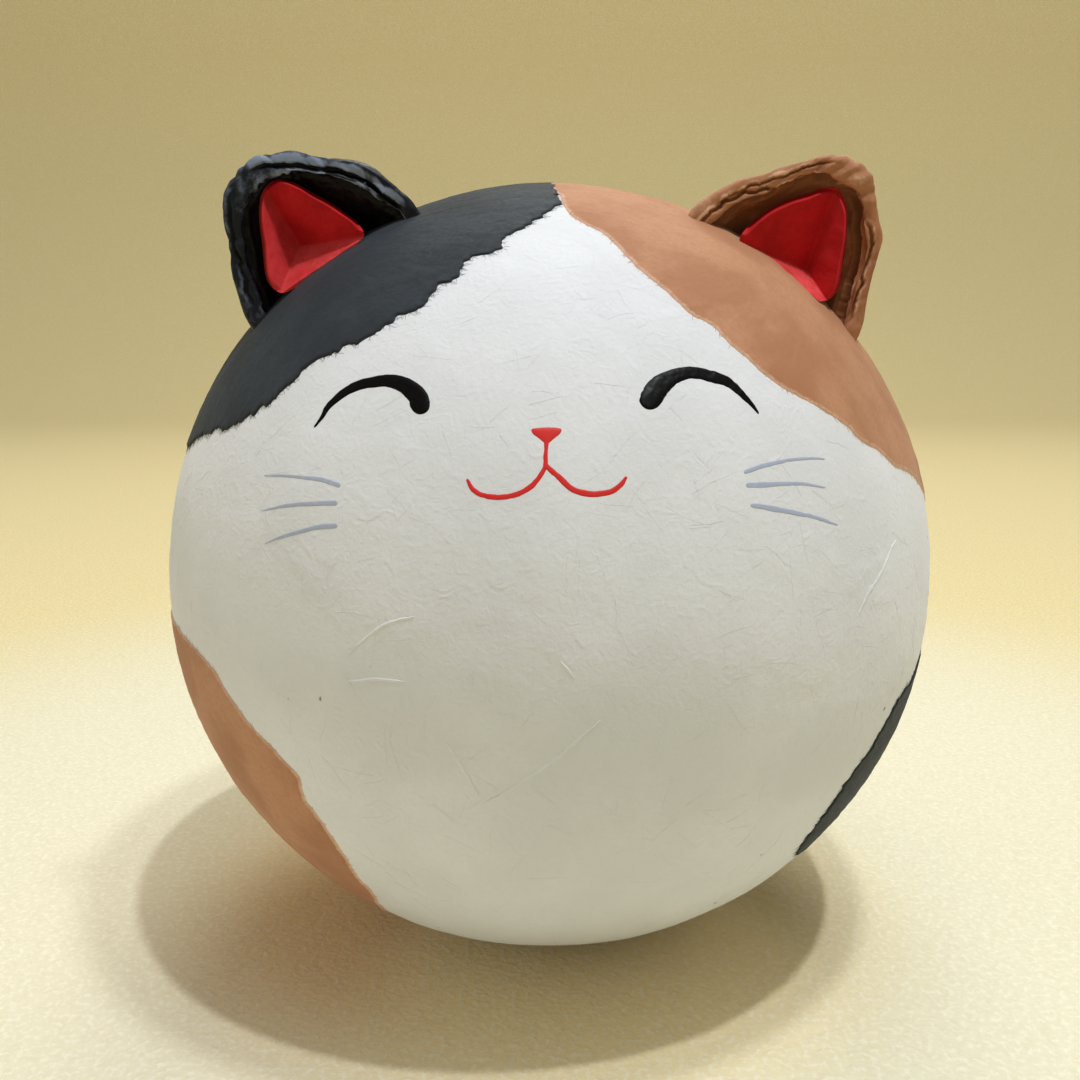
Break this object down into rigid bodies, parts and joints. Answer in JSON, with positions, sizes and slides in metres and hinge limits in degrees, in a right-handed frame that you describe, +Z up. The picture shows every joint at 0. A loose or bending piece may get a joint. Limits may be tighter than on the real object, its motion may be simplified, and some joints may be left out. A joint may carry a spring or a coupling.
{
  "type": "roly-poly figurine",
  "caption": "Round papier-mache cat with cupped paper ears, torn patches and a painted face, standing on a small flat foot.",
  "frame": {"origin": "middle of the flat foot that it stands on", "axes": "+Z up through the ball's centre, -Y towards the face, +X towards the brown ear"},
  "size_m": [0.1, 0.1, 0.101],
  "materials": {
    "white_paper": "matt off-white washi with fine fibres",
    "black_paper": "dyed black washi with a slight sheen",
    "brown_paper": "matt dyed brown washi",
    "red_paper": "matt dyed red washi"
  },
  "bodies": {
    "root": {"ball": "white_paper", "black_ear": "black_paper", "brown_ear": "brown_paper", "black_ear_lining": "red_paper", "brown_ear_lining": "red_paper"}
  },
  "joints": []
}
